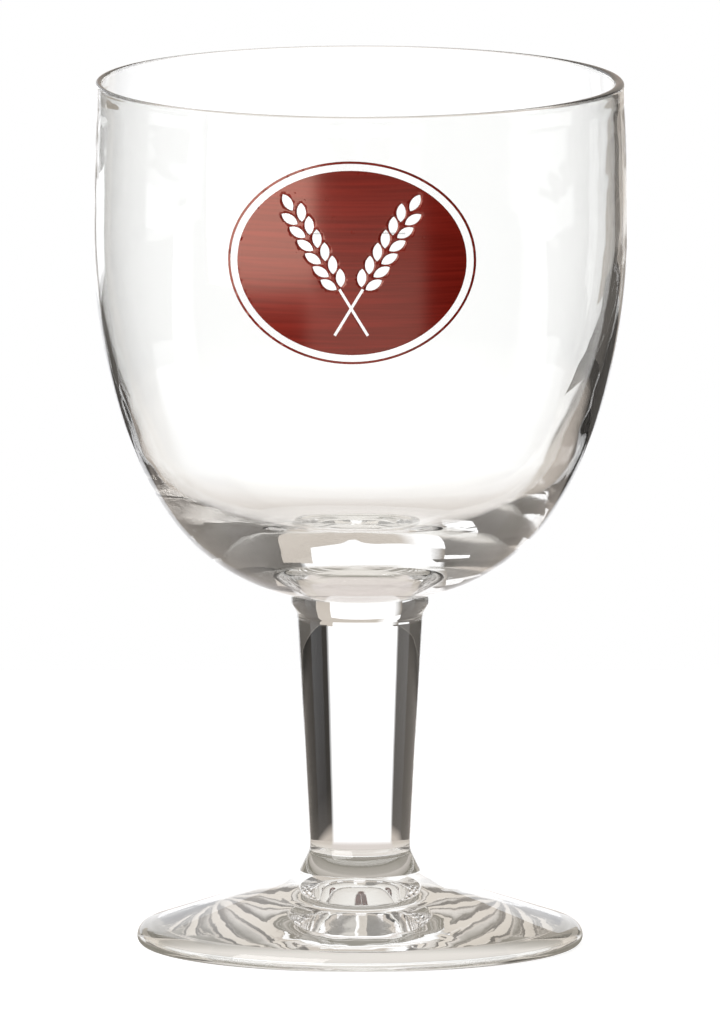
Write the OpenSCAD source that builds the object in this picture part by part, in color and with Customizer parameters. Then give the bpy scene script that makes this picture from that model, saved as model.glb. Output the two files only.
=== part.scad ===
// Chalice beer glass: a blown bowl fused to a solid pressed stem and a cone-shaped foot,
// with a baked enamel badge on the front and a capacity mark on the back.
// Millimetres, +Z up, origin on the table under the glass's axis. The front faces -Y.

/* [Bowl] */
// Height of the bowl, from its underside at the axis to the top of the rim
bowl_h = 105.8; // [98:0.1:114]
// Widest outside diameter of the bowl
belly_d = 107.9; // [104:0.1:114]
// How far the widest level lies below the top of the rim
belly_drop = 29; // [22:0.5:34]
// Outside diameter of the wall at the rim
rim_d = 106.3; // [98:0.1:107]
// Depth of the side's curve as a share of the widest radius, before it is stretched to the bowl's depth
depth_share = 1.4235; // [1.36:0.0005:1.49]
// Outside radius of the flank, just below the widest level, as a share of the radius there
flank_share = 2.428; // [2.3:0.002:2.55]
// Angle that the flank turns through below the widest level
flank_turn = 17.3; // [16:0.1:18.5]
// Outside radius of the hip, below the flank, as a share of the radius at the widest level
hip_share = 1.409; // [1.33:0.001:1.48]
// Angle reached at the lower end of the hip
hip_turn = 33.3; // [31.5:0.1:35]
// Angle reached at the lower end of the shoulder, where the round underside starts
shoulder_turn = 70; // [67:0.5:73]

/* [Bowl inside] */
// Wall thickness below the lip at the rim
rim_t = 1.4; // [1.1:0.05:1.8]
// Wall thickness at the widest level
wall_t = 1.7; // [1.4:0.05:2.2]
// How much thicker than the wall the round lip at the rim is
lip_swell = 0.35; // [0.2:0.05:0.8]
// Thickness of the glass under the middle of the bowl
floor_t = 11.7; // [8:0.1:13]
// Depth of the inner side's curve, as a share of the inside radius at the widest level
inner_depth_share = 1.245; // [1.19:0.0005:1.3]
// Inside radius of the flank as a share, smaller than outside so that the wall thickens downwards
inner_flank_share = 2.078; // [1.98:0.002:2.18]
// Inside angle that the flank turns through
inner_flank_turn = 24.1; // [22.9:0.1:25.3]
// Inside radius of the hip as a share
inner_hip_share = 0.964; // [0.92:0.001:1.01]
// Inside angle reached at the lower end of the hip
inner_hip_turn = 30.7; // [29.2:0.1:32.2]
// Inside angle reached where the nearly flat floor of the bowl starts
inner_shoulder_turn = 83.5; // [80:0.1:85]

/* [Stem] */
// Length of the stem, from its seat on the foot to the bowl's underside at the axis
stem_len = 54.3; // [45:0.1:65]
// Diameter of the stem's taper where the lower flare starts
stem_low_d = 20; // [16:0.1:24]
// Diameter of the stem's taper where the upper flare starts
stem_top_d = 25.3; // [20:0.1:30]
// How far the lower flare widens on each side to the seat on the foot
seat_flare = 2.15; // [1.5:0.05:3]
// How far the upper flare widens on each side to the collar that the bowl is fused to
collar_flare = 1.3; // [0.9:0.05:2]
// Height of the collar's upright edge
collar_h = 1.6; // [1:0.1:2.2]
// Angle of both flares from the vertical
flare_turn = 26; // [20:1:32]
// Radius of the hollow round where the taper runs into a flare
flare_round = 4.6; // [3:0.1:6]

/* [Foot] */
// Diameter of the foot
foot_d = 89.6; // [80:0.1:98]
// Slope of the foot's top from the horizontal
foot_slope = 18.2; // [15:0.1:21]
// Radius of the round at the foot's upper edge
foot_edge_r = 2.75; // [2:0.05:3.4]
// Radius of the round at the foot's lower edge
foot_base_r = 1.6; // [1:0.05:2]
// Radius of the sweep that lifts the foot's top to the seat
foot_sweep_r = 27; // [20:1:40]
// Angle that this sweep turns through
foot_sweep_turn = 11.3; // [6:0.1:15]
// Width of the flat ring that the glass stands on
rest_ring_w = 2.4; // [1:0.1:4]
// Width of the bevel inside this ring, up to the hollow
rest_bevel_w = 0.8; // [0.5:0.1:1.2]
// Slope of the hollow as a share of the slope of the foot's top
hollow_slope_share = 0.63; // [0.58:0.01:0.68]
// Diameter of the hollow's rounded top
hollow_top_d = 18; // [12:1:24]
// Thickness of the foot's glass between the seat and the hollow
foot_web_t = 5.6; // [5:0.1:6.4]

/* [Badge] */
// Thickness of the enamel print
ink_t = 0.12; // [0.08:0.01:0.2]
// Height of the badge's middle above the widest level of the bowl
badge_rise = -0.6; // [-4:0.1:1.5]
// Angle by which the badge is turned round the axis from the front
badge_turn = -1.9; // [-6:0.1:6]
// Width of the oval border
border_w = 50; // [47:0.5:54]
// Height of the oval border
border_h = 41.4; // [40:0.2:43]
// Line width of the border
border_line = 0.5; // [0.3:0.05:0.8]
// Clear gap between the border and the field
field_gap = 1.4; // [0.8:0.1:2]

/* [Barley ears] */
// Angle of each ear from the vertical
ear_lean = 31; // [26:1:36]
// Depth of the straws' crossing below the badge's middle, as a share of the field's half height
cross_share = 0.49; // [0.4:0.01:0.55]
// Reach of an ear from the crossing, as a share of the way to the field's edge
ear_share = 0.96; // [0.85:0.01:0.97]
// Length of a straw from the crossing to its grains
straw_top_len = 4.6; // [3.5:0.1:6]
// Length of a straw below the crossing
straw_low_len = 6.5; // [4:0.1:8]
// Width of a straw
straw_w = 0.55; // [0.4:0.05:0.8]
// Pairs of grains on an ear
grain_pairs = 6; // [4:1:8]
// Length of one grain as a share of the distance between grains
grain_len_share = 1.23; // [1.1:0.01:1.3]
// Width of one grain as a share of that distance
grain_w_share = 0.6; // [0.45:0.01:0.65]
// Distance of the grains' middles from the ear's middle line, as a share of that distance
grain_side_share = 0.456; // [0.42:0.002:0.52]
// Angle of the grains from the ear's middle line
grain_tilt = 28; // [20:1:34]

/* [Capacity mark] */
// How far the fill line lies below the top of the rim
fill_drop = 38.4; // [30:0.1:46]
// Length of the fill line
fill_line_len = 20; // [12:0.5:30]
// Width of the mark's strokes
stroke_w = 0.3; // [0.2:0.05:0.4]
// Height of the figures
figure_h = 2.6; // [2.2:0.1:3.2]
// Distance from the fill line down to the top of the figures
figure_drop = 1.9; // [1.2:0.1:3]
// Space between two figures
figure_space = 0.45; // [0.3:0.05:0.8]
// Height of the letter c as a share of the figures' height
letter_share = 0.72; // [0.65:0.01:0.8]

/* [Hidden] */
$fn = 96;
arc_steps = 10;
oval_steps = 96;
lip_steps = 20;
// Length by which a cut runs past what it cuts
overrun = 2;

belly_r = belly_d / 2;
rim_r = rim_d / 2;
bowl_depth = bowl_h - belly_drop;
collar_r = stem_top_d / 2 + collar_flare;
seat_r = stem_low_d / 2 + seat_flare;
foot_r = foot_d / 2;

// Foot: the edge's upper round runs into the sloping top, and a sweep lifts the top to the seat
foot_edge_c = [foot_r - foot_edge_r, foot_base_r];
slope_low = foot_edge_c + foot_edge_r * [sin(foot_slope), cos(foot_slope)];
sweep_in = foot_sweep_r * (sin(foot_slope + foot_sweep_turn) - sin(foot_slope));
sweep_up = foot_sweep_r * (cos(foot_slope) - cos(foot_slope + foot_sweep_turn));
slope_top_r = seat_r + sweep_in;
slope_top_z = slope_low[1] + (slope_low[0] - slope_top_r) * tan(foot_slope);
sweep_c = [slope_top_r, slope_top_z] + foot_sweep_r * [sin(foot_slope), cos(foot_slope)];
seat_z = slope_top_z + sweep_up;
rest_out_r = foot_r - foot_base_r;
rest_in_r = rest_out_r - rest_ring_w;

// Hollow under the foot: a cone that ends at the rest ring's bevel, its top rounded by a tangent arc
hollow_slope = foot_slope * hollow_slope_share;
hollow_top_r = hollow_top_d / 2 / sin(hollow_slope);
hollow_c = [0, seat_z - foot_web_t - hollow_top_r];
hollow_low_r = rest_in_r - rest_bevel_w;
hollow_low_z = hollow_c[1] + hollow_top_r / cos(hollow_slope) - hollow_low_r * tan(hollow_slope);

bowl_z = seat_z + stem_len;
glass_h = bowl_z + bowl_h;
belly_z = glass_h - belly_drop;
// The lip is a round bead that stands a little proud on both sides of the wall
lip_r = (rim_t + lip_swell) / 2;
lip_c = [rim_r - rim_t / 2, glass_h - lip_r];
lip_angle = acos(rim_t / 2 / lip_r);
wall_top_z = lip_c[1] - lip_r * sin(lip_angle);
badge_z = belly_z + badge_rise;
fill_z = glass_h - fill_drop;

// Field of the badge, and the place and size of the grains on the ears that cross in it
field_w = border_w - 2 * (border_line + field_gap);
field_h = border_h - 2 * (border_line + field_gap);
cross_drop = field_h / 2 * cross_share;
slant = [2 * sin(ear_lean) / field_w, 2 * cos(ear_lean) / field_h];
way_out = (slant[1] * cross_share + sqrt(slant * slant - pow(slant[0] * cross_share, 2))) / (slant * slant);
grain_pitch = (way_out * ear_share - straw_top_len) / (grain_pairs + grain_len_share);
grain_len = grain_pitch * grain_len_share;
grain_w = grain_pitch * grain_w_share;

// Direction at an angle below the horizontal, pointing away from the axis
function falling(angle) = [cos(angle), -sin(angle)];

// Points of an arc round a centre, from one angle below the horizontal to another
function arc(centre, radius, from, to, first = 0) =
    [for (i = [first:arc_steps]) centre + radius * falling(from + (to - from) * i / arc_steps)];

// The same arc without its first point, where it goes on from another curve
function arc_on(centre, radius, from, to) = arc(centre, radius, from, to, 1);

// Points that round a corner between two straight stretches
function rounded(before, corner, after, radius) =
    let (
        u = (before - corner) / norm(before - corner),
        w = (after - corner) / norm(after - corner),
        half = acos(u * w) / 2,
        centre = corner + (u + w) / norm(u + w) * radius / sin(half),
        start = corner + u * radius / tan(half) - centre,
        end = corner + w * radius / tan(half) - centre,
        sweep = 180 - 2 * half
    )
    [for (i = [0:arc_steps])
        let (t = i / arc_steps)
        centre + (start * sin((1 - t) * sweep) + end * sin(t * sweep)) / sin(sweep)];

// One side of the bowl below the belly as a chain of arcs, each tangent to the next, with the radius at
// the belly as its unit: [depth, flank radius, flank angle, hip radius, hip angle, shoulder angle].
// The shoulder's radius and the round bottom's radius follow from the depth.
outer_shape = [depth_share, flank_share, flank_turn, hip_share, hip_turn, shoulder_turn];
inner_shape = [
    inner_depth_share, inner_flank_share, inner_flank_turn,
    inner_hip_share, inner_hip_turn, inner_shoulder_turn
];

function side_arcs(s) =
    let (
        flank_c = [1 - s[1], 0],
        hip_c = flank_c + (s[1] - s[3]) * falling(s[2]),
        hip_end = hip_c + s[3] * falling(s[4]),
        lean = tan(s[5]) - 1 / cos(s[5]),
        shoulder_r = (-s[0] - hip_end[1] - hip_end[0] * lean) / (sin(s[4]) - cos(s[4]) * lean - 1),
        shoulder_c = hip_c + (s[3] - shoulder_r) * falling(s[4]),
        base_r = shoulder_r + shoulder_c[0] / cos(s[5])
    )
    [
        [flank_c, s[1], 0, s[2]],
        [hip_c, s[3], s[2], s[4]],
        [shoulder_c, shoulder_r, s[4], s[5]],
        [[0, base_r - s[0]], base_r, s[5], 90]
    ];

function points_of(a, from, to) = arc_on(a[0], a[1], from, to);

// The chain's points, stretched to a radius at the belly and a depth below it
function stretched(points, s, radius, depth) =
    [for (p = points) [p[0] * radius, belly_z + p[1] * depth / s[0]]];

outer_arcs = side_arcs(outer_shape);
inner_arcs = side_arcs(inner_shape);

// The bowl's round underside is welded to the collar, from this angle to the axis
underside = outer_arcs[3];
collar_angle = acos(collar_r / belly_r / underside[1]);
weld = stretched(
    concat([underside[0] + underside[1] * falling(collar_angle)], points_of(underside, collar_angle, 90)),
    outer_shape, belly_r, bowl_depth
);

// Upper wall between a radius at the rim and one at the belly, where it is upright
function upper_wall(top_r, low_r) =
    [for (i = [0:arc_steps])
        let (t = 1 - i / arc_steps)
        [low_r + (top_r - low_r) * t * t, belly_z + (wall_top_z - belly_z) * t]];

function lower_wall(arcs, last) = [for (i = [0:last]) each points_of(arcs[i], arcs[i][2], arcs[i][3])];

function backwards(points) = [for (i = [len(points) - 1:-1:0]) points[i]];

outer_wall = concat(
    upper_wall(rim_r, belly_r), stretched(lower_wall(outer_arcs, 2), outer_shape, belly_r, bowl_depth)
);

// Blown bowl with a round fire-polished lip and a thick floor
module bowl() {
    outside = concat(
        outer_wall,
        stretched(points_of(underside, shoulder_turn, collar_angle), outer_shape, belly_r, bowl_depth),
        [for (i = [1:len(weld) - 1]) weld[i]]
    );
    inside = concat(
        upper_wall(rim_r - rim_t, belly_r - wall_t),
        stretched(lower_wall(inner_arcs, 3), inner_shape, belly_r - wall_t, bowl_depth - floor_t)
    );
    lip = [for (i = [1:lip_steps - 1])
        let (a = -180 - lip_angle + (180 + 2 * lip_angle) * i / lip_steps)
        lip_c + lip_r * falling(a)];
    color([0.86, 0.89, 0.88, 0.4])
    rotate_extrude() polygon(concat(outside, backwards(inside), lip));
}

// Solid stem: a taper with a flare at each end, its top shaped to the bowl's underside
module stem() {
    seat_edge = [seat_r, seat_z];
    collar_low = weld[0] - [0, collar_h];
    taper_low = [stem_low_d / 2, seat_z + (seat_r - stem_low_d / 2) / tan(flare_turn)];
    taper_top = [stem_top_d / 2, collar_low[1] - (collar_r - stem_top_d / 2) / tan(flare_turn)];
    outline = concat(
        [[0, seat_z], seat_edge],
        rounded(seat_edge, taper_low, taper_top, flare_round),
        rounded(taper_low, taper_top, collar_low, flare_round),
        [collar_low],
        weld
    );
    color([0.80, 0.84, 0.83, 0.5])
    rotate_extrude() polygon(outline);
}

// Foot: a shallow cone with a rounded edge, with a hollow cone underneath inside a flat rest ring
module foot() {
    slope_end = foot_slope + foot_sweep_turn;
    outline = concat(
        arc(hollow_c, hollow_top_r, -90, hollow_slope - 90),
        [[hollow_low_r, hollow_low_z], [rest_in_r, 0]],
        arc([rest_out_r, foot_base_r], foot_base_r, 90, 0),
        arc_on(foot_edge_c, foot_edge_r, 0, foot_slope - 90),
        arc(sweep_c, foot_sweep_r, 90 + foot_slope, 90 + slope_end),
        [[0, seat_z]]
    );
    color([0.83, 0.87, 0.85, 0.45])
    rotate_extrude() polygon(outline);
}

// A thin skin on the bowl's outside, cut to a flat outline that stands up facing one side
module print_on_wall(mid_z, turn) {
    skin = [for (p = outer_wall) p + [ink_t, 0]];
    intersection() {
        rotate_extrude() polygon(concat(skin, backwards(outer_wall)));
        rotate([0, 0, turn]) translate([0, 0, mid_z]) rotate([90, 0, 0])
            linear_extrude(max(belly_r, rim_r) + overrun) children();
    }
}

module oval(w, h) {
    polygon([for (i = [0:oval_steps - 1])
        let (a = 360 * i / oval_steps)
        [w / 2 * cos(a), h / 2 * sin(a)]]);
}

// A pointed grain: the part that two discs share
module grain() {
    disc_r = (pow(grain_len, 2) + pow(grain_w, 2)) / (4 * grain_w);
    intersection() {
        translate([disc_r - grain_w / 2, 0]) circle(disc_r);
        translate([grain_w / 2 - disc_r, 0]) circle(disc_r);
    }
}

// A straw with grains in pairs and one at the tip, standing on the straws' crossing
module barley_ear() {
    translate([-straw_w / 2, -straw_low_len]) square([straw_w, straw_low_len + straw_top_len]);
    for (i = [0:grain_pairs - 1], side = [-1, 1])
        translate([side * grain_pitch * grain_side_share, straw_top_len + grain_len / 2 + i * grain_pitch])
            rotate(-side * grain_tilt) grain();
    translate([0, straw_top_len + grain_len / 2 + grain_pairs * grain_pitch]) grain();
}

module badge_border() {
    color([0.40, 0.09, 0.06])
    print_on_wall(badge_z, badge_turn) difference() {
        oval(border_w, border_h);
        oval(border_w - 2 * border_line, border_h - 2 * border_line);
    }
}

// Enamel field, left clear where two barley ears cross
module badge_field() {
    color([0.39, 0.08, 0.05])
    print_on_wall(badge_z, badge_turn) difference() {
        oval(field_w, field_h);
        for (side = [-1, 1])
            translate([0, -cross_drop]) rotate(side * ear_lean) barley_ear();
    }
}

module fill_line() {
    color([0.90, 0.90, 0.89])
    print_on_wall(fill_z, 180)
        translate([-fill_line_len / 2, -stroke_w / 2]) square([fill_line_len, stroke_w]);
}

module stroke_ring(outer_r) {
    difference() {
        circle(outer_r);
        circle(outer_r - stroke_w);
    }
}

// The figure 3: two rings, one on the other, open on the left
module figure_three() {
    ring_r = (figure_h + stroke_w) / 4;
    difference() {
        for (y = [ring_r, figure_h - ring_r])
            translate([ring_r, y]) stroke_ring(ring_r);
        translate([-overrun, ring_r]) square([overrun + ring_r - stroke_w, figure_h - 2 * ring_r]);
    }
}

module letter_c() {
    ring_r = figure_h * letter_share / 2;
    difference() {
        translate([ring_r, ring_r]) stroke_ring(ring_r);
        translate([ring_r + stroke_w, ring_r / 2]) square([ring_r, ring_r]);
    }
}

// Figures of the capacity: 33 cl
module capacity_figures() {
    three_w = (figure_h + stroke_w) / 2;
    c_w = figure_h * letter_share;
    step = three_w + figure_space;
    line_w = 2 * step + c_w + figure_space + stroke_w;
    color([0.90, 0.90, 0.89])
    print_on_wall(fill_z - figure_drop - figure_h / 2, 180)
        translate([-line_w / 2, -figure_h / 2]) {
            figure_three();
            translate([step, 0]) figure_three();
            translate([2 * step, 0]) letter_c();
            translate([line_w - stroke_w, 0]) square([stroke_w, figure_h]);
        }
}

bowl();
stem();
foot();
badge_border();
badge_field();
fill_line();
capacity_figures();
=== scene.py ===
import math

import bmesh
import bpy
import numpy as np
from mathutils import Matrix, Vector


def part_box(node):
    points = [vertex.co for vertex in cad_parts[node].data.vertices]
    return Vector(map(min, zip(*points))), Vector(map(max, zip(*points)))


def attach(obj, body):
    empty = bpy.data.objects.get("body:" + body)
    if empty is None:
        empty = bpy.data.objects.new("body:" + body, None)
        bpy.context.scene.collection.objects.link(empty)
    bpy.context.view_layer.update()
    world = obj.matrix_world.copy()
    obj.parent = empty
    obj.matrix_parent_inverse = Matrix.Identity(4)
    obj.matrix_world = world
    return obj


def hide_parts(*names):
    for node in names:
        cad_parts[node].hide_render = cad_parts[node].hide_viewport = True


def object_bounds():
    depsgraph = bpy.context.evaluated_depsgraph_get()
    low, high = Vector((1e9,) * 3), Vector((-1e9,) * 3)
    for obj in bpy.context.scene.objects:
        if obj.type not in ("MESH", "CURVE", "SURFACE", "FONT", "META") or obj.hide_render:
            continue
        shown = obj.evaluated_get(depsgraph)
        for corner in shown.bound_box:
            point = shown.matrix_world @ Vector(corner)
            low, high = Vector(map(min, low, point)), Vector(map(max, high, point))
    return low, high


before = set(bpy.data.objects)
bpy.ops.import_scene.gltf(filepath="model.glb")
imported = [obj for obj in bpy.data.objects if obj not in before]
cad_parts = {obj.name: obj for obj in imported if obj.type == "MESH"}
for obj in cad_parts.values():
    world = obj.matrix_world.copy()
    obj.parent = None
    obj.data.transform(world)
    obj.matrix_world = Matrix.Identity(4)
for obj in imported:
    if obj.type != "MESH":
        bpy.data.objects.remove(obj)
cad_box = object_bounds()
scene = bpy.context.scene
mm = 0.001

# The camera: a long lens a little above the rim, looking slightly down at the middle of the glass.
# It stands as far away as in the turned views, so the set that hangs on it keeps its distance.
lens_pitch = math.radians(7.85)
lens_distance = 420 * mm
picture_height = 206.05 * mm
glass_middle = (cad_box[0] + cad_box[1]) / 2
lens_side = Vector((0, -math.cos(lens_pitch), math.sin(lens_pitch)))

camera_data = bpy.data.cameras.new("camera")
camera_data.type = "ORTHO"
camera_data.ortho_scale = picture_height
camera = bpy.data.objects.new("camera", camera_data)
camera.location = glass_middle + lens_side * lens_distance
camera.rotation_euler = (-lens_side).to_track_quat("-Z", "Y").to_euler()
scene.collection.objects.link(camera)
scene.camera = camera
scene.view_settings.view_transform = "Standard"
bpy.context.view_layer.update()

# Light that crosses this much glass bounces often, so the paths may be long.
scene.cycles.max_bounces = 48
scene.cycles.transmission_bounces = 48
scene.cycles.glossy_bounces = 24
scene.cycles.transparent_max_bounces = 48


# The room: white where the camera looks past the glass. What the glass bends into view is a dim room
# under a pale ceiling, with one dark corner at the back on the right.
def add_node(tree, kind, **settings):
    node = tree.nodes.new(kind)
    for name, value in settings.items():
        setattr(node, name, value)
    return node


def set_input(node, **values):
    for name, value in values.items():
        node.inputs[name.replace("_", " ")].default_value = value
    return node


def colour_steps(tree, stops):
    """A ramp of (place, colour) stops; the first two stops replace the ramp's own."""
    ramp = add_node(tree, "ShaderNodeValToRGB")
    for i, (place, colour) in enumerate(stops):
        stop = ramp.color_ramp.elements[i] if i < 2 else ramp.color_ramp.elements.new(place)
        stop.position = place
        stop.color = colour
    return ramp


room_round = [(0.36, (0.13, 0.12, 0.11, 1)), (0.5, (0.72, 0.68, 0.64, 1)), (0.75, (0.92, 0.90, 0.88, 1))]
room_corner = [(0.6, (0.11, 0.10, 0.09, 1)), (0.75, (0.60, 0.56, 0.52, 1))]
corner_from, corner_at = 0.85, 1.05
room = bpy.data.worlds.new("room")
room.use_nodes = True
room_tree = room.node_tree
room_tree.nodes.clear()
room_rays = add_node(room_tree, "ShaderNodeLightPath")
room_white = set_input(add_node(room_tree, "ShaderNodeBackground"), Color=(1, 1, 1, 1), Strength=1)
room_place = add_node(room_tree, "ShaderNodeTexCoord")
room_split = add_node(room_tree, "ShaderNodeSeparateXYZ")
room_right = add_node(room_tree, "ShaderNodeMath", operation="ADD")
room_side = set_input(add_node(room_tree, "ShaderNodeMapRange"), From_Min=corner_from, From_Max=corner_at)
room_sides = add_node(room_tree, "ShaderNodeMix", data_type="RGBA")
room_own = set_input(add_node(room_tree, "ShaderNodeBackground"), Strength=1)
room_mix = add_node(room_tree, "ShaderNodeMixShader")
room_out = add_node(room_tree, "ShaderNodeOutputWorld")
room_tree.links.new(room_place.outputs["Generated"], room_split.inputs[0])
room_tree.links.new(room_split.outputs["X"], room_right.inputs[0])
room_tree.links.new(room_split.outputs["Y"], room_right.inputs[1])
room_tree.links.new(room_right.outputs[0], room_side.inputs["Value"])
room_tree.links.new(room_side.outputs[0], room_sides.inputs["Factor"])
for stops, socket in ((room_round, "A"), (room_corner, "B")):
    steps = colour_steps(room_tree, stops)
    room_tree.links.new(room_split.outputs["Z"], steps.inputs[0])
    room_tree.links.new(steps.outputs["Color"], room_sides.inputs[socket])
room_tree.links.new(room_sides.outputs["Result"], room_own.inputs["Color"])
room_tree.links.new(room_rays.outputs["Is Camera Ray"], room_mix.inputs[0])
room_tree.links.new(room_own.outputs[0], room_mix.inputs[1])
room_tree.links.new(room_white.outputs[0], room_mix.inputs[2])
room_tree.links.new(room_mix.outputs[0], room_out.inputs["Surface"])
scene.world = room


# The table: a board with painted light, pale near the glass and dimmer farther off, with a painted shadow
# in a dark ring where the foot's edge would shade it, and pale paper laid on it in four arms that
# brightens farther out in painted light. The camera sees it all white with the glass's own shadow on it,
# and the glass shows it with that painted light and shadow.
def new_material(name):
    material = bpy.data.materials.new(name)
    material.use_nodes = True
    material.node_tree.nodes.clear()
    return material, material.node_tree


def flat_plate(name, corners):
    mesh = bpy.data.meshes.new(name)
    mesh.from_pydata(corners, [], [range(len(corners))])
    plate = bpy.data.objects.new(name, mesh)
    scene.collection.objects.link(plate)
    return plate


panel_white = (1.21, 1.21, 1.23, 1)
paper_tint = (0.74, 0.68, 0.65, 1)
paper_skew = 0.05
paper_spread, paper_edge = 0.43, 0.49
arm_spread, arm_edge = 0.22, 0.28
paper_from, paper_at = 45 * mm, 75 * mm
paper_glow_from, paper_glow_at = 110 * mm, 270 * mm
board_reach = 450 * mm
board_blend = 60 * mm
# Painted light on the board: pale near the glass and darker farther off, darker still on the right, with
# a painted shadow in a dark ring about 41 to 46 mm out, under the foot's edge.
board_near_painted_light_and_shadow = [
    (0.08, (0.84, 0.80, 0.76, 1)), (0.092, (0.24, 0.225, 0.19, 1)), (0.102, (0.24, 0.225, 0.19, 1)),
    (0.14, (0.80, 0.75, 0.70, 1)), (0.3, (0.62, 0.56, 0.50, 1)), (0.62, (0.56, 0.50, 0.45, 1)),
]
board_painted_light_left = board_near_painted_light_and_shadow + [(0.7, (0.10, 0.092, 0.082, 1)), (0.95, (0.08, 0.073, 0.066, 1))]
board_painted_light_right = board_near_painted_light_and_shadow + [(0.7, (0.06, 0.055, 0.05, 1)), (0.95, (0.015, 0.014, 0.013, 1))]
floor_half = 1.5
floor_glow = 0.76
floor_albedo = 0.5
floor = flat_plate("floor", [
    (-floor_half, -floor_half, 0), (floor_half, -floor_half, 0),
    (floor_half, floor_half, 0), (-floor_half, floor_half, 0),
])
floor_material, tree = new_material("pale_table")
rays = add_node(tree, "ShaderNodeLightPath")
place = add_node(tree, "ShaderNodeTexCoord")
split = add_node(tree, "ShaderNodeSeparateXYZ")
far = add_node(tree, "ShaderNodeVectorMath", operation="LENGTH")
reach = set_input(add_node(tree, "ShaderNodeMapRange"), From_Min=0, From_Max=board_reach)
side = set_input(add_node(tree, "ShaderNodeMapRange"), From_Min=-board_blend, From_Max=board_blend)
board = add_node(tree, "ShaderNodeMix", data_type="RGBA")
slant = add_node(tree, "ShaderNodeMath", operation="DIVIDE")
skewed = add_node(tree, "ShaderNodeMath", operation="ADD")
skewed.inputs[1].default_value = paper_skew
across = add_node(tree, "ShaderNodeMath", operation="ABSOLUTE")
on_paper = set_input(add_node(tree, "ShaderNodeMapRange"), From_Min=paper_edge, From_Max=paper_spread)
crosswise = add_node(tree, "ShaderNodeMath", operation="DIVIDE")
along = add_node(tree, "ShaderNodeMath", operation="ABSOLUTE")
on_arm = set_input(add_node(tree, "ShaderNodeMapRange"), From_Min=arm_edge, From_Max=arm_spread)
either = add_node(tree, "ShaderNodeMath", operation="MAXIMUM")
clear_of = set_input(add_node(tree, "ShaderNodeMapRange"), From_Min=paper_from, From_Max=paper_at)
both = add_node(tree, "ShaderNodeMath", operation="MULTIPLY")
# Painted light: the paper grows brighter farther from the glass, up to the lit panel's glow.
paper_painted_glow = add_node(tree, "ShaderNodeMapRange")
set_input(paper_painted_glow, From_Min=paper_glow_from, From_Max=paper_glow_at)
paper = colour_steps(tree, [(0, paper_tint), (1, panel_white)])
tint = add_node(tree, "ShaderNodeMix", data_type="RGBA")
own = set_input(add_node(tree, "ShaderNodeEmission"), Strength=1)
glow = set_input(add_node(tree, "ShaderNodeEmission"), Color=(1, 1, 1, 1), Strength=floor_glow)
matt = set_input(add_node(tree, "ShaderNodeBsdfDiffuse"), Color=(floor_albedo,) * 3 + (1,))
seen = add_node(tree, "ShaderNodeAddShader")
seen_mix = add_node(tree, "ShaderNodeMixShader")
out = add_node(tree, "ShaderNodeOutputMaterial")
tree.links.new(place.outputs["Object"], split.inputs[0])
tree.links.new(place.outputs["Object"], far.inputs[0])
tree.links.new(far.outputs["Value"], reach.inputs["Value"])
tree.links.new(split.outputs["X"], side.inputs["Value"])
tree.links.new(side.outputs[0], board.inputs["Factor"])
for stops, socket in ((board_painted_light_left, "A"), (board_painted_light_right, "B")):
    steps = colour_steps(tree, stops)
    tree.links.new(reach.outputs[0], steps.inputs[0])
    tree.links.new(steps.outputs["Color"], board.inputs[socket])
tree.links.new(split.outputs["X"], slant.inputs[0])
tree.links.new(split.outputs["Y"], slant.inputs[1])
tree.links.new(slant.outputs[0], skewed.inputs[0])
tree.links.new(skewed.outputs[0], across.inputs[0])
tree.links.new(across.outputs[0], on_paper.inputs["Value"])
tree.links.new(split.outputs["Y"], crosswise.inputs[0])
tree.links.new(split.outputs["X"], crosswise.inputs[1])
tree.links.new(crosswise.outputs[0], along.inputs[0])
tree.links.new(along.outputs[0], on_arm.inputs["Value"])
tree.links.new(on_paper.outputs[0], either.inputs[0])
tree.links.new(on_arm.outputs[0], either.inputs[1])
tree.links.new(far.outputs["Value"], clear_of.inputs["Value"])
tree.links.new(either.outputs[0], both.inputs[0])
tree.links.new(clear_of.outputs[0], both.inputs[1])
tree.links.new(far.outputs["Value"], paper_painted_glow.inputs["Value"])
tree.links.new(paper_painted_glow.outputs[0], paper.inputs[0])
tree.links.new(both.outputs[0], tint.inputs["Factor"])
tree.links.new(board.outputs["Result"], tint.inputs["A"])
tree.links.new(paper.outputs["Color"], tint.inputs["B"])
tree.links.new(tint.outputs["Result"], own.inputs["Color"])
tree.links.new(glow.outputs[0], seen.inputs[0])
tree.links.new(matt.outputs[0], seen.inputs[1])
tree.links.new(rays.outputs["Is Camera Ray"], seen_mix.inputs[0])
tree.links.new(own.outputs[0], seen_mix.inputs[1])
tree.links.new(seen.outputs[0], seen_mix.inputs[2])
tree.links.new(seen_mix.outputs[0], out.inputs["Surface"])
floor.data.materials.append(floor_material)


# The set: a lit panel behind the glass between dimmer cards, a shelf on both sides at the stem's height,
# and a softbox in front on the left. The glass turns on the table in front of a set that stays with
# the camera, so all of it hangs on the camera.
def hang_on_camera(thing):
    thing.parent = camera
    thing.matrix_parent_inverse = camera.matrix_world.inverted()


card_margin = 1 * mm


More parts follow.
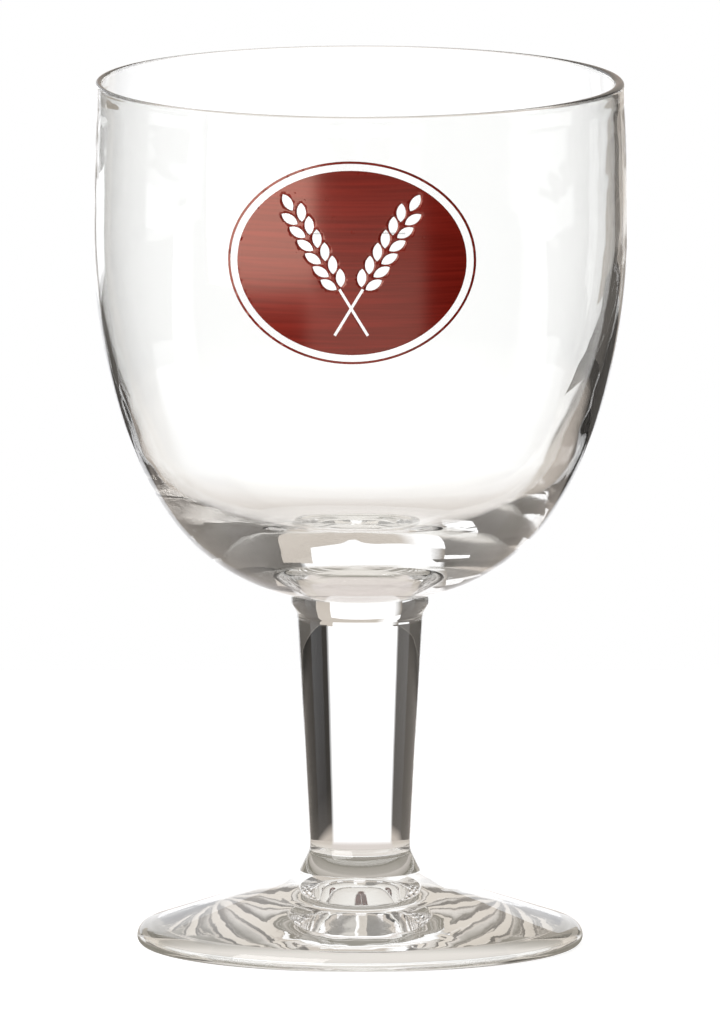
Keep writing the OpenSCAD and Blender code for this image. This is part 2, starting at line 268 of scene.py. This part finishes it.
def lit_card(name, corners, stops):
    """A card that the camera sees white and the glass shows in its own colour, by its place across."""
    card = flat_plate(name, corners)
    material, tree = new_material(name)
    left, right = min(c[0] for c in corners), max(c[0] for c in corners)
    place = add_node(tree, "ShaderNodeTexCoord")
    split = add_node(tree, "ShaderNodeSeparateXYZ")
    across = set_input(add_node(tree, "ShaderNodeMapRange"), From_Min=left, From_Max=right + card_margin)
    own_colour = colour_steps(tree, stops)
    rays = add_node(tree, "ShaderNodeLightPath")
    own = set_input(add_node(tree, "ShaderNodeEmission"), Strength=1)
    white = set_input(add_node(tree, "ShaderNodeEmission"), Color=(1, 1, 1, 1), Strength=1)
    seen_mix = add_node(tree, "ShaderNodeMixShader")
    out = add_node(tree, "ShaderNodeOutputMaterial")
    tree.links.new(place.outputs["Object"], split.inputs[0])
    tree.links.new(split.outputs["X"], across.inputs["Value"])
    tree.links.new(across.outputs[0], own_colour.inputs[0])
    tree.links.new(own_colour.outputs["Color"], own.inputs["Color"])
    tree.links.new(rays.outputs["Is Camera Ray"], seen_mix.inputs[0])
    tree.links.new(own.outputs[0], seen_mix.inputs[1])
    tree.links.new(white.outputs[0], seen_mix.inputs[2])
    tree.links.new(seen_mix.outputs[0], out.inputs["Surface"])
    card.data.materials.append(material)
    hang_on_camera(card)
    return card


panel_back = 400 * mm
panel_left, panel_right = -150 * mm, 128 * mm
panel_low, panel_high = 41 * mm, 160 * mm
low_left, low_right = -196 * mm, 154 * mm
side_left, side_right = -205 * mm, 220 * mm
far_left, far_low, far_high = -335 * mm, 50 * mm, 100 * mm
wall_top = 420 * mm
side_grey = (0.28, 0.25, 0.22, 1)
side_beige = (0.62, 0.56, 0.50, 1)
wall_beige = (0.60, 0.54, 0.48, 1)
all_white = [(0, panel_white), (1, panel_white)]
all_beige = [(0, side_beige), (1, side_beige)]
left_fade = [(0.1, side_grey), (1, panel_white)]
above_fade = [(0.25, panel_white), (0.4, wall_beige)]


def upright(left, right, low, top):
    corners = [(left, low), (right, low), (right, top), (left, top)]
    return [(x, panel_back, z) for x, z in corners]


lit_card("panel_foot", upright(low_left, low_right, 0, panel_low), all_white)
lit_card("lit_panel", upright(panel_left, panel_right, panel_low, panel_high), all_white)
lit_card("wall_above", upright(side_left, panel_right, panel_high, wall_top), above_fade)
lit_card("left_side", upright(side_left, panel_left, panel_low, panel_high), left_fade)
lit_card("right_side", upright(panel_right, side_right, panel_low, wall_top), all_beige)
lit_card("far_left", upright(far_left, side_left, far_low, far_high), all_white)

shelf_z = 52 * mm
shelf_t = 0.05 * mm
shelf_in_r, shelf_out_r = 215 * mm, 800 * mm
shelf_from, shelf_to = math.radians(22), math.radians(95)
shelf_steps = 12
shelf_pale = (0.76, 0.70, 0.63, 1)
shelf_dark = (0.12, 0.11, 0.10, 1)
turns = [shelf_from + (shelf_to - shelf_from) * i / shelf_steps for i in range(shelf_steps + 1)]
ring = [(shelf_in_r, t) for t in turns] + [(shelf_out_r, t) for t in turns[::-1]]
for side_name, side_sign in (("left", -1), ("right", 1)):
    for face, z, colour in (("under", shelf_z, shelf_pale), ("top", shelf_z + shelf_t, shelf_dark)):
        corners = [(side_sign * r * math.sin(t), r * math.cos(t), z) for r, t in ring]
        shelf = lit_card("shelf_%s_%s" % (face, side_name), corners, [(0, colour), (1, colour)])
        shelf.visible_shadow = False
        shelf.visible_diffuse = False

softbox_size = (560 * mm, 460 * mm)
softbox_place = (-410 * mm, -440 * mm, 210 * mm)
softbox_power = 3.4
softbox_data = bpy.data.lights.new("softbox", "AREA")
softbox_data.shape = "RECTANGLE"
softbox_data.size, softbox_data.size_y = softbox_size
softbox_data.energy = softbox_power
softbox = bpy.data.objects.new("softbox", softbox_data)
softbox.location = softbox_place
softbox.rotation_euler = (glass_middle - softbox.location).to_track_quat("-Z", "Y").to_euler()
softbox.visible_transmission = False
scene.collection.objects.link(softbox)
hang_on_camera(softbox)


# The bowl: soda-lime glass, blown in a mould, thin at the rim and thick at the floor.
# Its lip is fire-polished to a round bead, and its underside is fused to the stem's collar.
def falling(angle):
    return np.array((math.cos(math.radians(angle)), -math.sin(math.radians(angle))))


def arc(centre, radius, start, end, steps, first=0):
    return [centre + radius * falling(start + (end - start) * i / steps) for i in range(first, steps + 1)]


def wall_arcs(widest_r, flank_r, flank_turn, hip_r, hip_turn, shoulder_turn, lowest):
    """The tangent arcs of one side below the belly, each as (centre, radius, first angle, last angle)."""
    flank_c = np.array((widest_r - flank_r, belly_z))
    hip_c = flank_c + (flank_r - hip_r) * falling(flank_turn)
    hip_end = hip_c + hip_r * falling(hip_turn)
    turn = math.radians(shoulder_turn)
    lean = math.tan(turn) - 1 / math.cos(turn)
    hip = math.radians(hip_turn)
    shoulder_r = (lowest - hip_end[1] - hip_end[0] * lean) / (math.sin(hip) - math.cos(hip) * lean - 1)
    shoulder_c = hip_c + (hip_r - shoulder_r) * falling(hip_turn)
    base_r = shoulder_r + shoulder_c[0] / math.cos(turn)
    base_c = np.array((0, lowest + base_r))
    return [
        (flank_c, flank_r, 0, flank_turn),
        (hip_c, hip_r, flank_turn, hip_turn),
        (shoulder_c, shoulder_r, hip_turn, shoulder_turn),
        (base_c, base_r, shoulder_turn, 90),
    ]


glass_h = cad_box[1].z
bowl_h = 105.8 * mm
belly_r = 53.95 * mm
belly_drop = 29 * mm
flank_r, flank_turn = 131 * mm, 17.3
hip_r, hip_turn = 76 * mm, 33.3
shoulder_turn = 70
inner_flank_r, inner_flank_turn = 108.6 * mm, 24.1
inner_hip_r, inner_hip_turn = 50.4 * mm, 30.7
inner_shoulder_turn = 83.5
rim_r = 53.15 * mm
rim_t = 1.4 * mm
wall_t = 1.7 * mm
lip_swell = 0.35 * mm
lip_blend = 4 * mm
floor_t = 11.7 * mm
cavity_off_top = 0.4 * mm
cavity_off_low = 0.95 * mm
cavity_off_depth = 75 * mm
collar_r = 13.95 * mm
arc_steps, lip_steps, underside_steps, weld_steps = 26, 24, 12, 6
lip_crowding = 0.65
same_point = 0.002 * mm

bowl_z = glass_h - bowl_h
belly_z = glass_h - belly_drop
outside = wall_arcs(belly_r, flank_r, flank_turn, hip_r, hip_turn, shoulder_turn, bowl_z)
inside = wall_arcs(
    belly_r - wall_t, inner_flank_r, inner_flank_turn, inner_hip_r, inner_hip_turn,
    inner_shoulder_turn, bowl_z + floor_t)
underside_c, underside_r = outside[3][:2]
collar_angle = math.degrees(math.acos(collar_r / underside_r))
weld_z = underside_c[1] - underside_r * math.sin(math.radians(collar_angle))
lip_r = (rim_t + lip_swell) / 2
lip_z = glass_h - lip_r


def upper_wall(side):
    """The wall from the lip's middle down to the belly; side is 1 outside and -1 inside.
    Its steps lie closer together towards the lip."""
    points = []
    for i in range(arc_steps):
        t = i / arc_steps
        z = lip_z + (belly_z - lip_z) * ((1 - lip_crowding) * t + lip_crowding * t * t)
        up = ((z - belly_z) / (lip_z - belly_z)) ** 2
        thick = wall_t + (rim_t - wall_t) * up
        middle = belly_r - wall_t / 2 + (rim_r - rim_t / 2 - belly_r + wall_t / 2) * up
        near = max(0, 1 - (lip_z - z) / lip_blend)
        half = thick / 2 + lip_swell / 2 * near * near * (3 - 2 * near)
        points.append(np.array((middle + side * half, z)))
    return points


def lower_wall(parts):
    points = arc(*parts[0], arc_steps)
    for part in parts[1:]:
        points += arc(*part, arc_steps, 1)
    return points


def off_centre(z):
    """How far the cavity lies to the left of the axis: the gather sagged a little before it was blown."""
    return cavity_off_top + (cavity_off_low - cavity_off_top) * min(1, (glass_h - z) / cavity_off_depth)


lip_c = (upper_wall(1)[0] + upper_wall(-1)[0]) / 2
outer_profile = upper_wall(1) + lower_wall(outside[:3])
outer_profile += arc(underside_c, underside_r, shoulder_turn, collar_angle, underside_steps, 1)
weld = arc(underside_c, underside_r, collar_angle, 90, weld_steps)
inner_profile = upper_wall(-1) + lower_wall(inside)
bowl_profile = [(p, False, 0) for p in outer_profile[:-1]] + [(p, True, 0) for p in weld]
bowl_profile += [(p, False, off_centre(p[1])) for p in inner_profile[::-1]]
bowl_profile += [
    (lip_c + lip_r * falling(-180 * (1 - i / lip_steps)), False, cavity_off_top * (1 - i / lip_steps))
    for i in range(1, lip_steps)
]
bowl_profile.append(bowl_profile[0])


def turning_tree():
    """A profile in the XZ plane turned round Z, closed at the seam and at the axis.
    Points marked fused carry the faces that lie against the next piece of glass, and a ring of points
    may lie off the centre, to the left."""
    tree = bpy.data.node_groups.new("turned_glass", "GeometryNodeTree")
    face = tree.interface
    face.new_socket("Profile", in_out="INPUT", socket_type="NodeSocketGeometry")
    face.new_socket("Steps round", in_out="INPUT", socket_type="NodeSocketInt")
    face.new_socket("Crease", in_out="INPUT", socket_type="NodeSocketFloat")
    face.new_socket("Glass", in_out="INPUT", socket_type="NodeSocketMaterial")
    face.new_socket("Fused face", in_out="INPUT", socket_type="NodeSocketMaterial")
    face.new_socket("Piece", in_out="OUTPUT", socket_type="NodeSocketGeometry")
    given = add_node(tree, "NodeGroupInput")
    result = add_node(tree, "NodeGroupOutput")
    link = tree.links.new

    size = add_node(tree, "GeometryNodeAttributeDomainSize", component="MESH")
    link(given.outputs["Profile"], size.inputs[0])
    columns = add_node(tree, "ShaderNodeMath", operation="ADD")
    columns.inputs[1].default_value = 1
    link(given.outputs["Steps round"], columns.inputs[0])
    grid = add_node(tree, "GeometryNodeMeshGrid")
    link(columns.outputs[0], grid.inputs["Vertices X"])
    link(size.outputs["Point Count"], grid.inputs["Vertices Y"])

    index = add_node(tree, "GeometryNodeInputIndex")
    column = add_node(tree, "FunctionNodeIntegerMath", operation="DIVIDE_FLOOR")
    link(index.outputs[0], column.inputs[0])
    link(size.outputs["Point Count"], column.inputs[1])
    along = add_node(tree, "FunctionNodeIntegerMath", operation="MODULO")
    link(index.outputs[0], along.inputs[0])
    link(size.outputs["Point Count"], along.inputs[1])
    turn = add_node(tree, "ShaderNodeMath", operation="DIVIDE")
    link(column.outputs[0], turn.inputs[0])
    link(given.outputs["Steps round"], turn.inputs[1])
    angle = add_node(tree, "ShaderNodeMath", operation="MULTIPLY")
    angle.inputs[1].default_value = math.tau
    link(turn.outputs[0], angle.inputs[0])

    place = add_node(tree, "GeometryNodeInputPosition")
    profile_place = add_node(tree, "GeometryNodeSampleIndex", data_type="FLOAT_VECTOR")
    link(given.outputs["Profile"], profile_place.inputs["Geometry"])
    link(place.outputs[0], profile_place.inputs["Value"])
    link(along.outputs[0], profile_place.inputs["Index"])
    turned = add_node(tree, "ShaderNodeVectorRotate", rotation_type="Z_AXIS")
    link(profile_place.outputs[0], turned.inputs["Vector"])
    link(angle.outputs[0], turned.inputs["Angle"])

    off = add_node(tree, "GeometryNodeInputNamedAttribute", data_type="FLOAT")
    off.inputs["Name"].default_value = "off_centre"
    profile_off = add_node(tree, "GeometryNodeSampleIndex", data_type="FLOAT")
    link(given.outputs["Profile"], profile_off.inputs["Geometry"])
    link(off.outputs["Attribute"], profile_off.inputs["Value"])
    link(along.outputs[0], profile_off.inputs["Index"])
    left = add_node(tree, "ShaderNodeVectorMath", operation="SCALE")
    left.inputs[0].default_value = (-1, 0, 0)
    link(profile_off.outputs[0], left.inputs["Scale"])
    shifted = add_node(tree, "ShaderNodeVectorMath", operation="ADD")
    link(turned.outputs[0], shifted.inputs[0])
    link(left.outputs[0], shifted.inputs[1])

    fused = add_node(tree, "GeometryNodeInputNamedAttribute", data_type="BOOLEAN")
    fused.inputs["Name"].default_value = "fused"
    profile_fused = add_node(tree, "GeometryNodeSampleIndex", data_type="BOOLEAN")
    link(given.outputs["Profile"], profile_fused.inputs["Geometry"])
    link(fused.outputs["Attribute"], profile_fused.inputs["Value"])
    link(along.outputs[0], profile_fused.inputs["Index"])
    keep = add_node(tree, "GeometryNodeCaptureAttribute", domain="POINT")
    keep.capture_items.new("BOOLEAN", "fused")
    link(grid.outputs["Mesh"], keep.inputs["Geometry"])
    link(profile_fused.outputs[0], keep.inputs["fused"])

    placed = add_node(tree, "GeometryNodeSetPosition")
    link(keep.outputs["Geometry"], placed.inputs["Geometry"])
    link(shifted.outputs[0], placed.inputs["Position"])
    closed = add_node(tree, "GeometryNodeMergeByDistance")
    closed.inputs["Distance"].default_value = same_point
    link(placed.outputs[0], closed.inputs["Geometry"])
    smooth = add_node(tree, "GeometryNodeSetShadeSmooth", domain="FACE")
    link(closed.outputs[0], smooth.inputs[0])
    bend = add_node(tree, "GeometryNodeInputMeshEdgeAngle")
    sharp = add_node(tree, "FunctionNodeCompare", data_type="FLOAT", operation="GREATER_THAN")
    link(bend.outputs["Unsigned Angle"], sharp.inputs[0])
    link(given.outputs["Crease"], sharp.inputs[1])
    creased = add_node(tree, "GeometryNodeSetShadeSmooth", domain="EDGE")
    creased.inputs["Shade Smooth"].default_value = False
    link(smooth.outputs[0], creased.inputs[0])
    link(sharp.outputs[0], creased.inputs["Selection"])
    real = add_node(tree, "GeometryNodeRealizeInstances")
    link(creased.outputs[0], real.inputs[0])
    clear = add_node(tree, "GeometryNodeSetMaterial")
    link(real.outputs[0], clear.inputs["Geometry"])
    link(given.outputs["Glass"], clear.inputs["Material"])
    joined = add_node(tree, "GeometryNodeSetMaterial")
    link(clear.outputs[0], joined.inputs["Geometry"])
    link(keep.outputs["fused"], joined.inputs["Selection"])
    link(given.outputs["Fused face"], joined.inputs["Material"])
    link(joined.outputs[0], result.inputs[0])
    return tree


turned_glass = turning_tree()


def socket_of(tree, name):
    return next(s.identifier for s in tree.interface.items_tree if s.name == name)


def turn_glass(name, profile, glass, fused_face, steps_round=256, crease=math.radians(32)):
    """Turns a profile of (point, fused, off centre) into a closed piece that rides the root body."""
    points, fused, off = zip(*profile)
    mesh = bpy.data.meshes.new(name + "_profile")
    mesh.from_pydata([(p[0], 0, p[1]) for p in points], [], [])
    mesh.attributes.new("fused", "BOOLEAN", "POINT").data.foreach_set("value", fused)
    mesh.attributes.new("off_centre", "FLOAT", "POINT").data.foreach_set("value", off)
    former = bpy.data.objects.new(name + "_profile", mesh)
    scene.collection.objects.link(former)
    turning = former.modifiers.new("turning", "NODES")
    turning.node_group = turned_glass
    turning[socket_of(turned_glass, "Steps round")] = steps_round
    turning[socket_of(turned_glass, "Crease")] = crease
    turning[socket_of(turned_glass, "Glass")] = glass
    turning[socket_of(turned_glass, "Fused face")] = fused_face
    bpy.context.view_layer.update()
    seen = former.evaluated_get(bpy.context.evaluated_depsgraph_get())
    piece = bpy.data.objects.new(name + "_glass", bpy.data.meshes.new_from_object(seen))
    bpy.data.objects.remove(former)
    shape = bmesh.new()
    shape.from_mesh(piece.data)
    bmesh.ops.recalc_face_normals(shape, faces=shape.faces)
    shape.to_mesh(piece.data)
    shape.free()
    scene.collection.objects.link(piece)
    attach(piece, "root")
    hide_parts(name)


glass_tint = (0.985, 0.988, 0.975, 1)
glass_ior = 1.52


def glass_finish(name, ripple_w, ripple_h, clear):
    """Faintly uneven glass, as it is when shaped hot; clear is the share of light not scattered."""
    material, tree = new_material(name)
    place = add_node(tree, "ShaderNodeTexCoord")
    ripple = add_node(tree, "ShaderNodeTexNoise")
    set_input(ripple, Scale=1 / ripple_w, Detail=1.5, Distortion=0.6)
    uneven = set_input(add_node(tree, "ShaderNodeBump"), Strength=1, Distance=ripple_h)
    body = add_node(tree, "ShaderNodeBsdfPrincipled")
    set_input(body, Base_Color=glass_tint, Roughness=0, IOR=glass_ior, Transmission_Weight=clear)
    out = add_node(tree, "ShaderNodeOutputMaterial")
    tree.links.new(place.outputs["Object"], ripple.inputs["Vector"])
    tree.links.new(ripple.outputs["Fac"], uneven.inputs["Height"])
    tree.links.new(uneven.outputs[0], body.inputs["Normal"])
    tree.links.new(body.outputs[0], out.inputs["Surface"])
    return material


clear_glass = glass_finish("clear_glass", ripple_w=18 * mm, ripple_h=0.08 * mm, clear=0.994)

fused_glass, tree = new_material("fused_glass")
through = add_node(tree, "ShaderNodeBsdfTransparent")
out = add_node(tree, "ShaderNodeOutputMaterial")
tree.links.new(through.outputs[0], out.inputs["Surface"])

turn_glass("bowl", bowl_profile, clear_glass, fused_glass)

# The stem: one solid gather, drawn to a taper and flared at both ends while soft.
# Its collar takes the bowl's round underside and its lower end is fused to the foot.
seat_r = 12.15 * mm
seat_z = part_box("foot")[1].z
stem_low_r = 10 * mm
stem_top_r = 12.65 * mm
collar_h = 1.6 * mm
flare_slope = math.tan(math.radians(26))
flare_round = 4.6 * mm


def rounded(before, corner, after, radius, steps=14):
    """Points that round a corner between two straight stretches."""
    u = (before - corner) / np.linalg.norm(before - corner)
    w = (after - corner) / np.linalg.norm(after - corner)
    half = math.acos(u @ w) / 2
    centre = corner + (u + w) / np.linalg.norm(u + w) * radius / math.sin(half)
    start = corner + u * radius / math.tan(half) - centre
    end = corner + w * radius / math.tan(half) - centre
    sweep = math.pi - 2 * half
    points = []
    for i in range(steps + 1):
        t = i / steps
        way = (start * math.sin((1 - t) * sweep) + end * math.sin(t * sweep)) / math.sin(sweep)
        points.append(centre + way)
    return points


seat_edge = np.array((seat_r, seat_z))
collar_low = np.array((collar_r, weld_z - collar_h))
taper_low = np.array((stem_low_r, seat_z + (seat_r - stem_low_r) / flare_slope))
taper_top = np.array((stem_top_r, collar_low[1] - (collar_r - stem_top_r) / flare_slope))
stem_side = rounded(seat_edge, taper_low, taper_top, flare_round)
stem_side += rounded(taper_low, taper_top, collar_low, flare_round)
stem_side.append(collar_low)
stem_profile = [(np.array((0, seat_z)), True, 0), (seat_edge, True, 0)]
stem_profile += [(p, False, 0) for p in stem_side]
stem_profile += [(p, True, 0) for p in weld]
drawn_glass = glass_finish("drawn_glass", ripple_w=18 * mm, ripple_h=0.05 * mm, clear=1)
turn_glass("stem", stem_profile, drawn_glass, fused_glass)

# The foot: a pressed gather, its top sloping from the stem to a rounded edge.
# Underneath it is a hollow cone with a rounded top, inside the flat ring that it stands on.
foot_r = 44.8 * mm
foot_slope = 18.2
foot_edge_r = 2.75 * mm
foot_base_r = 1.6 * mm
foot_sweep_r = 27 * mm
foot_sweep_turn = 11.3
rest_ring_w = 2.4 * mm
rest_bevel_w = 0.8 * mm
foot_web_t = 5.6 * mm
hollow_top_half = 9 * mm
hollow_slope_share = 0.63
sweep_steps, hollow_steps, base_steps, edge_steps = 14, 24, 16, 24

foot_edge_c = np.array((foot_r - foot_edge_r, foot_base_r))
rest_out_r = foot_r - foot_base_r
rest_in_r = rest_out_r - rest_ring_w
hollow_slope = hollow_slope_share * foot_slope
hollow_lean = math.radians(hollow_slope)
hollow_top_r = hollow_top_half / math.sin(hollow_lean)
hollow_c = np.array((0, seat_z - foot_web_t - hollow_top_r))
hollow_low_r = rest_in_r - rest_bevel_w
hollow_low_z = hollow_c[1] + hollow_top_r / math.cos(hollow_lean) - hollow_low_r * math.tan(hollow_lean)
sweep_end = foot_slope + foot_sweep_turn
sweep_c = seat_edge + foot_sweep_r * falling(sweep_end - 90)
foot_top = arc(sweep_c, foot_sweep_r, 90 + foot_slope, 90 + sweep_end, sweep_steps)
foot_side = arc(hollow_c, hollow_top_r, -90, hollow_slope - 90, hollow_steps)
foot_side += [np.array((hollow_low_r, hollow_low_z)), np.array((rest_in_r, 0))]
foot_side += arc(np.array((rest_out_r, foot_base_r)), foot_base_r, 90, 0, base_steps)
foot_side += arc(foot_edge_c, foot_edge_r, 0, foot_slope - 90, edge_steps, 1)
foot_side += foot_top[:-1]
foot_profile = [(p, False, 0) for p in foot_side]
foot_profile += [(foot_top[-1], True, 0), (np.array((0, seat_z)), True, 0)]
pressed_glass = glass_finish("pressed_glass", ripple_w=12 * mm, ripple_h=0.06 * mm, clear=1)
turn_glass("foot", foot_profile, pressed_glass, fused_glass)


# The badge: two coats of maroon enamel, screen-printed on the cold bowl and baked on.
# A thin oval line stands round a field that is left clear where two ears of barley cross.
def wall_radius(z):
    points = np.array(outer_profile[::-1])
    return np.interp(z, points[:, 1], points[:, 0])


ink_t = 0.12 * mm
ink_sunk = 0.02 * mm
longest_edge = 0.9 * mm
most_cuts = 9


def lay_on_wall(node, finish):
    """A print's own outline, cut finer and laid on the smooth outside of the bowl."""
    shape = bmesh.new()
    shape.from_mesh(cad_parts[node].data)
    bmesh.ops.remove_doubles(shape, verts=shape.verts, dist=same_point)
    proud = shape.verts.layers.float.new("proud")
    for v in shape.verts:
        v[proud] = float(v.co.xy.length - wall_radius(v.co.z) > ink_t / 2)
    for _ in range(most_cuts):
        long = [e for e in shape.edges if e.calc_length() > longest_edge]
        if not long:
            break
        bmesh.ops.subdivide_edges(shape, edges=long, cuts=1)
        bmesh.ops.triangulate(shape, faces=shape.faces)
    for v in shape.verts:
        radius = wall_radius(v.co.z) - ink_sunk + v[proud] * ink_t
        v.co.xy *= radius / v.co.xy.length
    bmesh.ops.recalc_face_normals(shape, faces=shape.faces)
    mesh = bpy.data.meshes.new(node + "_print")
    shape.to_mesh(mesh)
    shape.free()
    mesh.materials.append(finish)
    piece = bpy.data.objects.new(node + "_print", mesh)
    scene.collection.objects.link(piece)
    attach(piece, "root")
    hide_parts(node)


stroke_scale = (45, 45, 1500)
maroon_dark = (0.125, 0.0065, 0.0035, 1)
maroon_bright = (0.185, 0.0105, 0.006, 1)
maroon_sheen = (1, 0.62, 0.5, 1)
maroon_enamel, tree = new_material("maroon_enamel")
place = add_node(tree, "ShaderNodeTexCoord")
drawn = set_input(add_node(tree, "ShaderNodeMapping"), Scale=stroke_scale)
strokes = set_input(add_node(tree, "ShaderNodeTexNoise"), Scale=1, Detail=2)
ink = colour_steps(tree, [(0.35, maroon_dark), (0.65, maroon_bright)])
coat = add_node(tree, "ShaderNodeBsdfPrincipled")
set_input(coat, Roughness=0.19, IOR=1.7, Specular_Tint=maroon_sheen)
out = add_node(tree, "ShaderNodeOutputMaterial")
tree.links.new(place.outputs["Object"], drawn.inputs["Vector"])
tree.links.new(drawn.outputs[0], strokes.inputs["Vector"])
tree.links.new(strokes.outputs["Fac"], ink.inputs[0])
tree.links.new(ink.outputs["Color"], coat.inputs["Base Color"])
tree.links.new(coat.outputs[0], out.inputs["Surface"])

for node in ("badge_border", "badge_field"):
    lay_on_wall(node, maroon_enamel)

# The capacity mark: a line and figures in pale grey enamel on the back of the bowl,
# printed with the badge and baked on in the same firing.
pale_grey = (0.78, 0.78, 0.77, 1)
pale_cover = 0.3
pale_enamel, tree = new_material("pale_enamel")
coat = add_node(tree, "ShaderNodeBsdfPrincipled")
set_input(coat, Base_Color=pale_grey, Roughness=0.4, Alpha=pale_cover)
out = add_node(tree, "ShaderNodeOutputMaterial")
tree.links.new(coat.outputs[0], out.inputs["Surface"])

for node in ("fill_line", "capacity_figures"):
    lay_on_wall(node, pale_enamel)
